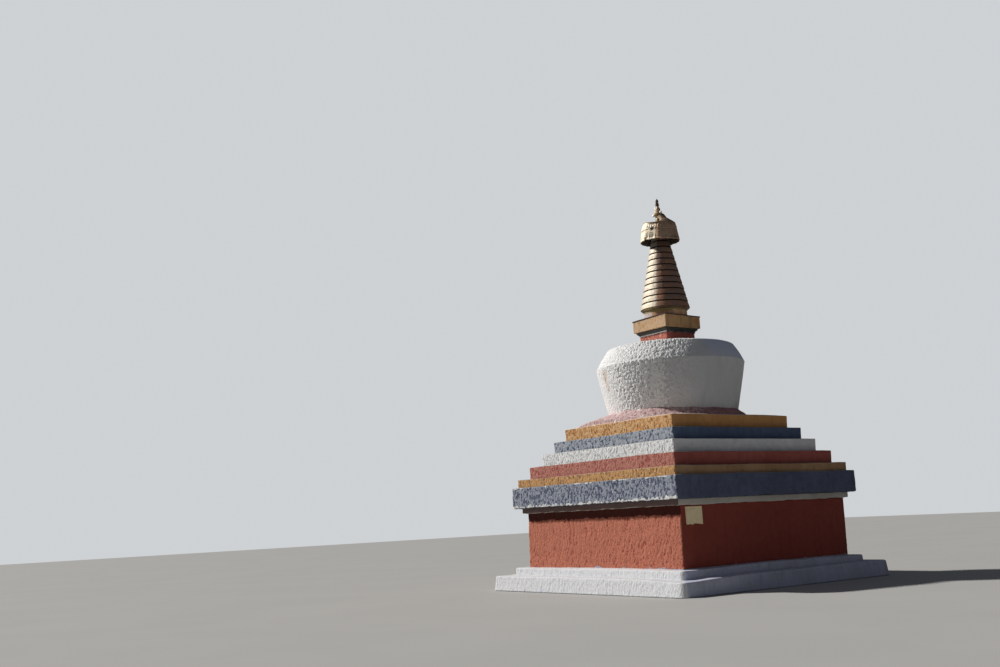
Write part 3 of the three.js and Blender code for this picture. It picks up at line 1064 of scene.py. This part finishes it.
moulding = {
    "node": "harmika_moulding", "corner": 0.01, "step": 0.018, "perSide": [44] * 4,
    "warp": 0.0025, "grime": (0.4, 0.4, 0.12, 35),
    "lower": (
        (0.396, -0.004, 0), (0.456, 0, 0.004), (0.461, 0.0117, 0.004), (0.4835, 0.0273, 0.004),
        (0.4985, 0.0468, 0.004), (0.506, 0.0663, 0.004),
    ),
    "upper": ((0.506, 0, 0.004), (0.40, -0.004, 0)),
}
slabCap = {  # folded sheet: its edge turns down a little over the slab
    "node": "slab_cap", "corner": 0.01, "step": 0.03, "perSide": [70] * 4, "warp": 0.004,
    "grime": (0.5, 0.5, 0.1, 37),
    "lower": ((0.458, 0.002, 0), (0.552, 0.001, 0), (0.553, -0.014, 0), (0.557, -0.014, 0)),
    "upper": ((0.558, 0, 0.003), (0.40, -0.003, 0)),
}


def addSquareTrim(name, look, slot, finish, bend):
    rows, normals = profileRows(softProfile(cornersOf(look)), look["step"])
    points, facing, perRing = squareSweep(rows, normals, look["corner"], look["perSide"])
    points = bend(points, facing)
    grime = cloudy(points, *look["grime"])
    addPiece(name, look["node"], slot, finish, points, perRing, grime=grime)


def warpedWood(points, facing):
    return points + facing * (moulding["warp"] * layeredNoise(points, 0.2, 34))[:, None]


def liftedSheet(points, facing):
    warp = slabCap["warp"] * layeredNoise(flatOf(points), 0.22, 36, 2)
    points[:, 2] += warp + slabLift(points)
    return points


addSquareTrim("moulding_wood", moulding, "dark_paint", darkPaint, warpedWood)
addSquareTrim("cap_sheet", slabCap, "cap_sheet", capPaint, liftedSheet)
print("harmika done")

# Spire foot: plaster drum and the tarnished moulding that the lowest ring stands on
pedestal = {
    "node": "spire_pedestal", "around": 220, "step": 0.014, "dabs": 0.006,
    "dabSize": (0.04, 0.05), "wave": 0.005, "waveSize": 0.3, "seed": 41,
    "bleachedWay": 150.0, "turn": (27, 42), "giltFrom": (0.075, 0.03),
    "lower": ((0.42, -0.008, 0), (0.5, -0.008, 0)), "upper": ((0.496, 0, 0.012), (0.40, 0, 0)),
}


usualTurn = (35, 75)  # degrees from the bright way, from its last bright to the full dark of tarnish and painted shade


def turnedAway(points, start, end):
    # 0 on the bright side of the spire, turned towards the sun, 1 all round the rest
    return smoothStep(np.abs(turnFrom(points, pedestal["bleachedWay"])), start, end)


def addPedestal():
    rows, normals = profileRows(softProfile(cornersOf(pedestal)), pedestal["step"])
    points, facing, perRing = roundSweep(rows, normals, pedestal["around"])
    height, exposed = plasterRelief(points, facing, pedestal)
    exposed = exposed * (1 - turnedAway(points, *pedestal["turn"]))
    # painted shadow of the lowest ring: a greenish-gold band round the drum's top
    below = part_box(pedestal["node"])[1].z - points[:, 2] - 0.05 * layeredNoise(points, 0.09, 46)
    run = smoothStep(below, *pedestal["giltFrom"])
    points = points + facing * height[:, None]
    name, node = "pedestal_plaster", pedestal["node"]
    addPiece(name, node, "whitewash", drumWash, points, perRing, wear=exposed, patch=run)


addPedestal()


def turnedMetal(
    name, look, slot, finish, corners=None, press=None, grime=None, shape=None, hollow=False
):
    # beaten sheet turned about the spire's axis. press embosses it and shape bends it
    rows, normals = profileRows(softProfile(corners or cornersOf(look)), look["step"])
    points, facing, perRing = roundSweep(rows, normals, look["around"])
    shelter = turnedAway(points, *look.get("turn", usualTurn))
    height = np.zeros(len(points))
    if "dents" in look:
        height += look["dents"] * layeredNoise(points, look["dentSize"], look["seed"])
    if press:
        height += press(points)
    points = points + facing * height[:, None]
    if "rimWave" in look:
        low = rows[:, 1].min()
        near = 1 - smoothStep(points[:, 2], low, low + look["rimReach"])
        wave = layeredNoise(flatOf(points), look["rimSize"], look["seed"] + 3, 2)
        points[:, 2] += near * look["rimWave"] * wave
    dirt = grime(points) if grime else cloudy(points, *look["grime"])
    if shape:
        shape(points)
    if hollow:  # painted shade all over the inside
        inside = (facing[:, :2] * points[:, :2]).sum(axis=1) < 0
        dirt = np.where(inside, 1.0, dirt)
    values = {"grime": dirt, "shelter": shelter}
    addPiece(name, look["node"], slot, finish, points, perRing, hollow, **values)


def petalShape(angle, count, power):
    # 1 along the middle of each petal, 0 between petals
    return np.abs(np.cos(angle * count / 2)) ** power


collar = {
    "node": "spire_collar", "around": 168, "step": 0.015, "dents": 0.004, "dentSize": 0.15,
    "seed": 42, "petals": 32, "petalDepth": 0.006, "grime": (0.35, 0.5, 0.1, 43),
    "lower": (
        (0.432, -0.004, 0), (0.512, 0, 0.004), (0.528, 0.0154, 0.006), (0.550, 0.03168, 0.008),
    ),
    "upper": ((0.562, 0.007, 0.004), (0.558, 0, 0.003), (0.482, 0, 0)),
}


def collarPetals(points):
    share = np.clip(heightShare(points, collar["node"]) / 0.7, 0, 1)
    leaf = petalShape(angleOf(points), collar["petals"], 0.6) - 0.6
    return collar["petalDepth"] * leaf * np.sin(math.pi * share)


turnedMetal("collar_gilt", collar, "aged_gilt", agedGilt, press=collarPetals)

# Thirteen rings of gilt sheet, each one flaring down over the top of the ring below
ring = {
    "count": 13, "around": 128, "step": 0.030, "dents": 0.004, "dentSize": 0.13,
    "tuck": 0.005, "lip": 0.030, "roll": 0.006, "taper": 0.2179, "groove": 0.022,
    "grooveTall": 0.027, "rimWave": 0.003, "rimReach": 0.04, "rimSize": 0.16, "seams": 4,
    "seamHeight": 0.0025, "seamShift": 0.8, "turn": (40, 71), "sootyFrom": 10,
}


def addRing(index):
    look = dict(ring, node=f"spire_ring_{index + 1:02d}", seed=50 + 7 * index)
    low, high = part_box(look["node"])
    foot, tall, roll = high.x, high.z - low.z, look["roll"]
    top = foot - look["taper"] * tall - look["tuck"]
    grooveIn, grooveTop = top - look["groove"], high.z - look["grooveTall"]
    corners = [
        (foot - 0.10, low.z + 0.014, 0), (foot - 2.6 * roll, low.z + 0.012, 0.004),
        (foot - 1.6 * roll, low.z, 0.003), (foot, low.z + 0.5 * roll, 0.003),
        (foot - look["taper"] * look["lip"], low.z + look["lip"], 0.006),
        ((foot + top) / 2 + 0.003, low.z + 0.5 * tall, 0.02), (top + 0.004, grooveTop, 0.004),
        (grooveIn, grooveTop + 0.006, 0.003), (grooveIn, high.z + 0.010, 0),
        (top - 0.05, high.z + 0.012, 0),
    ]

    def seams(points):
        # narrow laps where the sheets of one ring meet
        apart = 2 * math.pi / look["seams"]
        turned = (angleOf(points) + look["seamShift"] * index) / apart
        across = np.abs(turned - np.round(turned)) * apart * foot
        return look["seamHeight"] * (1 - smoothStep(across, 0.008, 0.02))

    def grime(points):
        # painted shade under each lip and in the groove at its top, with clouds of dirt
        share = heightShare(points, look["node"])
        under = 1 - smoothStep(share, -0.02, 0.04)
        patch = 0.35 * np.clip(layeredNoise(points, 0.2, 90 + index), 0, 1)
        sooty = 0.6 if index >= look["sootyFrom"] else 0.0  # painted shade on those inside the parasol
        return np.clip(smoothStep(share, 0.80, 0.90) + 0.7 * under + patch + sooty, 0, 1)

    name = f"ring_sheet_{index + 1:02d}"
    turnedMetal(name, look, "gilt", giltSheet, corners, seams, grime)


for index in range(ring["count"]):
    addRing(index)

neck = {
    "node": "spire_neck", "around": 72, "step": 0.02, "dents": 0.002, "dentSize": 0.1,
    "seed": 44, "grime": (0.3, 0.4, 0.1, 45),
    "lower": ((0.078, 0, 0), (0.128, 0.002, 0.006)), "upper": ((0.128, 0, 0), (0.078, 0, 0)),
}
turnedMetal("neck_timber", neck, "neck_red", neckPaint)
print("spire done")

# Parasol: two embossed bands of gilt sheet hanging from a round hollow-sloped roof
eaves = {
    "lift": 0.036, "liftWay": 136.0, "lean": 0.014, "drop": 0.024, "dropWay": 228.0,
    "rimWay": 252.0,
    "bendFrom": 8.13, "bendOver": 0.15,  # where the sheet starts to bend, and over what height
    "flat": (180.0, 222.0),  # the stretch of the skirt and band that has been beaten flat
    # dark spots: way round, height and size
    "spots": ((202, 8.125, 0.046), (178, 7.90, 0.028)),
}


def sideFacing(points, way, low, high):
    return smoothStep(np.cos(np.radians(turnFrom(points, eaves[way]))), low, high)


def liftEaves(points, share):
    # bent up at the left in the picture; share: 0 where the sheet hasn't moved, 1 at the eaves
    points[:, 2] += eaves["lift"] * sideFacing(points, "liftWay", 0.1, 1.0) * share
    # it hangs lower on the side towards the camera: a wide stretch above, a narrow one below
    above = sideFacing(points, "dropWay", 0.1, 0.9)
    below = sideFacing(points, "rimWay", 0.75, 0.97)
    outer = smoothStep(np.hypot(points[:, 0], points[:, 1]), 0.26, 0.34)
    points[:, 2] -= eaves["drop"] * (above * share + below * (1 - share)) * outer
    shiftRight(points, eaves["lean"] * share)


def bendWithEaves(points):
    liftEaves(points, np.clip((points[:, 2] - eaves["bendFrom"]) / eaves["bendOver"], 0, 1))


def flattenAndBend(points):
    start, end = eaves["flat"]
    half = (end - start) / 2
    off = turnFrom(points, (start + end) / 2)
    chord = math.cos(math.radians(half)) / np.cos(np.radians(off))
    points[:, :2] *= np.where(np.abs(off) < half, chord, 1)[:, None]
    bendWithEaves(points)


skirt = {
    "node": "parasol_skirt", "around": 280, "step": 0.012, "wall": 0.010, "belly": 0.004,
    "top": 0.415, "dents": 0.005, "dentSize": 0.12, "seed": 151, "rimWave": 0.006,
    "rimReach": 0.12, "rimSize": 0.18, "drapes": 18, "press": 0.010, "turn": (56, 70),
}
upperBand = {
    "node": "parasol_band", "around": 280, "step": 0.012, "wall": 0.010, "belly": 0.008,
    "top": 0.372, "dents": 0.004, "dentSize": 0.12, "seed": 152, "leaves": 14, "press": 0.010,
    "turn": (56, 70),
}


def repeats(points, count):
    # how far each point is from the middle of its repeat, -1 to 1
    turned = angleOf(points) * count / (2 * math.pi)
    return (turned - np.round(turned)) * 2


def ridge(value, middle, wide):
    return np.exp(-(((value - middle) / wide) ** 2))


def skirtPress(points):
    # swags of drapery with a tassel between each pair
    share = heightShare(points, skirt["node"])
    phase = np.abs(repeats(points, skirt["drapes"]))
    lines = sum(ridge(share, 0.30 + 0.38 * phase**2 + k, 0.05) for k in (0.0, 0.16, 0.32))
    tassel = ridge(phase, 1, 0.2) * (1 - smoothStep(share, 0.2, 0.8))
    rim = ridge(share, 0.06, 0.05)
    return skirt["press"] * np.clip(0.6 * lines * (1 - tassel) + tassel + rim, 0, 1.2)


def bandPress(points):
    # upright leaf shapes with a round boss in each, between two plain beads
    share = heightShare(points, upperBand["node"])
    phase = repeats(points, upperBand["leaves"])
    edge = 0.75 * np.clip(1 - ((share - 0.42) / 0.46) ** 2, 0, 1) ** 0.7
    leaf = ridge(np.abs(phase), edge, 0.10) * (share > 0.02) * (share < 0.9)
    boss = ridge(phase, 0, 0.26) * ridge(share, 0.42, 0.16)
    beads = ridge(share, 0.04, 0.035) + ridge(share, 0.95, 0.035)
    return upperBand["press"] * np.clip(leaf + 1.2 * boss + beads, 0, 1.3)


def addHangingSheet(name, look, press, seed):
    # a thin wall, up the outside, over and down the inside
    low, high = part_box(look["node"])
    foot, top, wall = high.x, look["top"], look["wall"]
    middle = (foot + top) / 2 + look["belly"]
    half = (low.z + high.z) / 2
    corners = [
        (foot - wall, low.z + 0.004, 0), (foot - 0.4 * wall, low.z, 0.003),
        (foot, low.z + 0.005, 0.003), (middle, half, 0.05), (top, high.z, 0),
        (top - wall, high.z, 0), (middle - wall, half, 0),
    ]

    def grime(points):
        # painted shade in the low parts of the embossing, clouds of dirt, and two dark spots
        dirt = np.clip(1 - press(points) / look["press"], 0, 1) * 0.4
        dirt += 0.5 * np.clip(layeredNoise(points, 0.16, seed) + 0.2, 0, 1)
        for way, height, size in eaves["spots"]:
            turned = np.radians(turnFrom(points, way))
            off = np.hypot(0.4 * turned / size, (points[:, 2] - height) / size)
            dirt += np.clip(1.4 - off, 0, 0.8)
        return np.clip(dirt, 0, 1)

    turnedMetal(name, look, "gilt", paleGilt, corners, press, grime, flattenAndBend, True)


addHangingSheet("skirt_sheet", skirt, skirtPress, 153)
addHangingSheet("band_sheet", upperBand, bandPress, 154)

cornice = {
    "node": "parasol_cornice", "around": 200, "step": 0.014, "dents": 0.002, "dentSize": 0.1,
    "seed": 155, "grime": (0.3, 0.4, 0.1, 157),
    "lower": ((0.262, -0.002, 0), (0.370, -0.002, 0.003), (0.382, 0.004, 0.004)),
    "upper": ((0.382, 0.003, 0.004), (0.362, -0.002, 0.003), (0.262, 0, 0)),
}
turnedMetal("cornice_gilt", cornice, "aged_gilt", agedGilt, shape=bendWithEaves)

roof = {
    "node": "parasol_roof", "around": 240, "rows": 26, "dents": 0.005, "dentSize": 0.16,
    "seed": 156, "petals": 16, "petalDepth": 0.006, "grime": (0.55, 0.5, 0.14, 158),
    # radius and height from the eaves up, on its full side and on its flattened side
    "full": (
        (0.378, 0.0), (0.345, 0.034), (0.29, 0.074), (0.216, 0.128), (0.171, 0.200),
        (0.148, 0.236),
    ),
    "flat": (
        (0.374, 0.0), (0.26, 0.008), (0.13, 0.014), (0.074, 0.030), (0.064, 0.11), (0.062, 0.236),
    ),
}


def addRoof():
    around, share = roof["around"], np.linspace(0, 1, roof["rows"])
    angle = np.arange(around) * 2 * math.pi / around
    amount = smoothStep(np.cos(angle - math.radians(pictureRightWay)), -0.5, 0.7)
    along = np.linspace(0, 1, len(roof["full"]))
    full, flat = (np.array(roof[side]).T for side in ("full", "flat"))
    radius, height = (
        np.outer(np.interp(share, along, flat[k]), 1 - amount)
        + np.outer(np.interp(share, along, full[k]), amount)
        for k in (0, 1)
    )
    leaf = petalShape(angle, roof["petals"], 0.5) - 0.6
    radius += roof["petalDepth"] * np.outer(np.sin(math.pi * share), leaf)
    radius = np.concatenate([radius[:1] - 0.1, radius, radius[-1:] - 0.04])
    height = np.concatenate([height[:1] - 0.004, height, height[-1:]])
    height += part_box(roof["node"])[0].z
    points = np.stack([radius * np.cos(angle), radius * np.sin(angle), height], 2).reshape(-1, 3)
    dents = 1 + roof["dents"] * layeredNoise(points, roof["dentSize"], roof["seed"]) / 0.15
    points[:, :2] *= dents[:, None]
    shelter = turnedAway(points, *usualTurn)
    values = {"grime": cloudy(points, *roof["grime"]), "shelter": shelter}
    liftEaves(points, smoothStep(np.hypot(points[:, 0], points[:, 1]), 0.16, 0.36))
    addPiece("roof_sheet", roof["node"], "aged_gilt", agedGilt, points, around, **values)


addRoof()
print("parasol done")

# Finial: lotus cup, jewelled bulb, three discs and a pointed tip
lotus = {
    "node": "finial_lotus", "around": 108, "step": 0.006, "dents": 0.001, "dentSize": 0.05,
    "seed": 161, "petals": 8, "petalDepth": 0.012, "grime": (0.25, 0.5, 0.05, 171),
    "lower": (
        (0.05, -0.004, 0), (0.090, 0, 0.006), (0.110, 0.034, 0.012), (0.080, 0.052, 0.006),
        (0.090, 0.074, 0.006),
    ),
    "upper": ((0.058, 0, 0.004), (0.03, 0, 0)),
}
bulb = {
    "node": "finial_bulb", "around": 96, "step": 0.006, "dents": 0.001, "dentSize": 0.05,
    "seed": 162, "grime": (0.25, 0.5, 0.05, 172),
    "lower": (
        (0.03, -0.003, 0), (0.044, 0, 0.005), (0.064, 0.022, 0.01), (0.066, 0.046, 0.01),
        (0.054, 0.074, 0.012), (0.034, 0.098, 0.008),
    ),
    "upper": ((0.026, 0, 0.004), (0.012, 0, 0)),
}
discs = {
    "node": "finial_discs", "around": 72, "step": 0.006, "dents": 0.001, "dentSize": 0.04,
    "seed": 163, "grime": (0.7, 0.5, 0.05, 173), "count": 3, "wide": 0.052, "smaller": 0.004,
}
tip = {
    "node": "finial_tip", "around": 48, "step": 0.006, "grime": (0.7, 0.5, 0.05, 174),
    "lower": (
        (0.008, -0.002, 0), (0.022, 0, 0.003), (0.038, 0.022, 0.008), (0.034, 0.058, 0.008),
        (0.014, 0.084, 0.006),
    ),
    "upper": ((0.002, 0.001, 0), (0.001, 0.001, 0)),
}


def discCorners():
    low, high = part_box(discs["node"])
    pitch = (high.z - low.z) / discs["count"]
    corners = [(0.01, low.z - 0.002, 0)]
    for i in range(discs["count"]):
        wide = discs["wide"] - discs["smaller"] * i
        for radius, up, soft in (
            (0.026, 0, 0.003), (wide - 0.004, 0.3, 0.004), (wide, 0.5, 0.004),
            (wide - 0.006, 0.7, 0.004),
        ):
            corners.append((radius, low.z + pitch * (i + up), soft))
    return corners + [(0.018, high.z, 0.002), (0.008, high.z, 0)]


def lotusPetals(points):
    share = np.clip(heightShare(points, lotus["node"]), 0, 1)
    leaf = petalShape(angleOf(points), lotus["petals"], 0.5) - 0.85
    return lotus["petalDepth"] * leaf * np.sin(math.pi * np.clip(share * 1.1, 0, 1))


turnedMetal("lotus_gilt", lotus, "gilt", paleGilt, press=lotusPetals)
turnedMetal("bulb_gilt", bulb, "gilt", paleGilt)
turnedMetal("discs_gilt", discs, "aged_gilt", agedGilt, discCorners())
turnedMetal("tip_gilt", tip, "aged_gilt", agedGilt)

# Small gilt beads round the roof's top and the finial, some on short stems
knobs = {
    "bead": 0.033, "stem": 0.012, "around": 16, "rings": 9, "grime": (0.1, 0.3, 0.03, 175),
    # across to the right and towards the camera, height, and how far its stem reaches back
    "places": (
        (-0.040, 0.010, 8.685, 0.02), (0.072, 0.098, 8.567, 0.05), (-0.098, 0.0, 8.510, 0.06),
        (-0.026, 0.090, 8.404, 0.02), (-0.060, -0.060, 8.600, 0.03), (0.040, -0.110, 8.440, 0.03),
    ),
}


def addKnobs():
    points, faces = [], []
    bead, around, count = knobs["bead"], knobs["around"], knobs["rings"]
    turns = np.arange(around) * 2 * math.pi / around
    tilt = math.pi * (0.1 + 0.88 * np.arange(count) / (count - 1))
    ringsOut = list(zip(bead * np.sin(tilt), -bead * np.cos(tilt)))
    for side, near, height, reach in knobs["places"]:
        place = side * np.array(pictureRight) + near * np.array(pictureNear)
        away = place / np.linalg.norm(place)
        axis, beside = np.array((*away, 0)), np.array((-away[1], away[0], 0))
        base = len(points)
        for radius, out in [(knobs["stem"], -reach)] + ringsOut:
            for turn in turns:
                spot = axis * out + beside * radius * math.cos(turn)
                points.append(spot + (*place, height + radius * math.sin(turn)))
        faces += [[base + corner for corner in face] for face in ringFaces(count + 1, around)]
    points = np.array(points)
    grime = cloudy(points, *knobs["grime"])
    addMesh("roof_knobs", None, "gilt", beadGilt, points, faces, grime=grime)


addKnobs()
print("finial done")

# Notice board: a thin painted sheet, bent and worn along its lower edge, left blank
board = {
    "node": "notice_board", "columns": 56, "rows": 44, "wear": 0.038, "bow": 0.004,
    "border": 0.018, "borderRise": 0.002,
}


def addBoard():
    low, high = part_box(board["node"])
    columns, rows, border = board["columns"], board["rows"], board["border"]
    width, tall = high.x - low.x, high.z - low.z
    grid = np.meshgrid(np.linspace(0, 1, columns), np.linspace(0, 1, rows))
    across, up = (share.ravel() for share in grid)
    none = np.zeros(len(up))
    lumps = layeredNoise(np.stack([across * width, none, none], 1), 0.09, 181)
    ragged = board["wear"] * np.clip(0.3 + lumps, 0, 1)
    x = low.x + across * width
    z = low.z + ragged * (1 - up) + up * tall
    edge = np.minimum(np.minimum(across, 1 - across) * width, np.minimum(up, 1 - up) * tall)
    raised = board["borderRise"] * (1 - smoothStep(edge, border, border + 0.004))
    bow = board["bow"] * (1 + layeredNoise(np.stack([x, none, z], 1), 0.2, 182, 2)) / 2
    front = np.stack([x, low.y + 0.003 + bow - raised, z], 1)
    points = np.concatenate([front, np.stack([x, none + high.y + 0.004, z], 1)])
    size = columns * rows
    index = np.arange(size).reshape(rows, columns)
    here, beside, over, above = index[:-1, :-1], index[:-1, 1:], index[1:, 1:], index[1:, :-1]
    ahead = np.stack([here, beside, over, above], 2)
    behind = np.stack([here, above, over, beside], 2) + size
    faces = np.stack([ahead, behind], 2).reshape(-1, 4).tolist()
    rim = np.concatenate([index[0], index[1:, -1], index[-1, -2::-1], index[-2:0:-1, 0]])
    after = np.roll(rim, -1)
    faces += np.stack([after, rim, rim + size, after + size], 1).tolist()
    grime = cloudy(points, 0.05, 0.3, 0.09, 183)
    topDirt = 0.5 * smoothStep(heightShare(points, board["node"]), 0.5, 0.95)
    grime += topDirt * (0.5 + layeredNoise(points, 0.14, 184, 2))
    addMesh(
        "board_sheet", board["node"], "board_paint", boardPaint, points, faces, False, grime=grime
    )


addBoard()
print("notice board done")


def addFloor():
    half = light["floorSize"] / 2
    mesh = bpy.data.meshes.new("floor")
    corners = [(-half, -half, 0), (half, -half, 0), (half, half, 0), (-half, half, 0)]
    mesh.from_pydata(corners, [], [(0, 1, 2, 3)])
    material, tree, shader, place = newMaterial("floorPaper")
    shade = tuple(0.95 * value for value in light["floor"])
    soft = ramp(tree, noiseAt(tree, place, 3.0), 0.35, 0.65, 0.6)
    tree.links.new(blend(tree, soft, light["floor"], shade), shader.inputs["Base Color"])
    shader.inputs["Roughness"].default_value = 0.95
    mesh.materials.append(material)
    floor = bpy.data.objects.new("floor", mesh)
    scene.collection.objects.link(floor)


addFloor()
